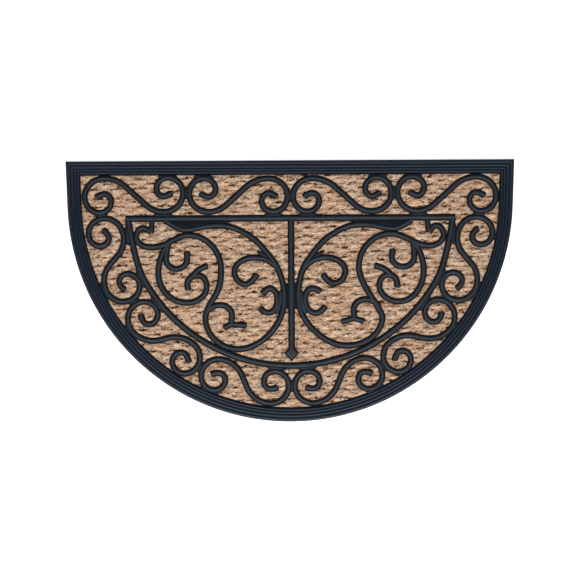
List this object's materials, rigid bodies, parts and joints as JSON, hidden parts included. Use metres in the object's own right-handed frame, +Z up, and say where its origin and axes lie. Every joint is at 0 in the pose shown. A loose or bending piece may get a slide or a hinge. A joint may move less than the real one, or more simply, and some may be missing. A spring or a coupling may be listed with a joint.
{
  "type": "half-round coir doormat",
  "caption": "Half-round doormat: a flat coir panel lying in a moulded rubber tray with a ribbed border and open rubber scrollwork over the coir.",
  "frame": {"origin": "middle of the mat's box, on the floor under it", "axes": "+X along the straight edge, +Y towards the straight edge, +Z up"},
  "size_m": [0.762, 0.4438, 0.01],
  "materials": {
    "blue_black_rubber": "matt moulded rubber, blue-black, with a soft sheen on the rounded tops of the bars",
    "bleached_coir": "rough tufted coconut fibre, straw to pinkish tan with darker brown gaps"
  },
  "bodies": {
    "root": {"rubber_moulding": "blue_black_rubber", "coir_panel": "bleached_coir"}
  },
  "joints": []
}
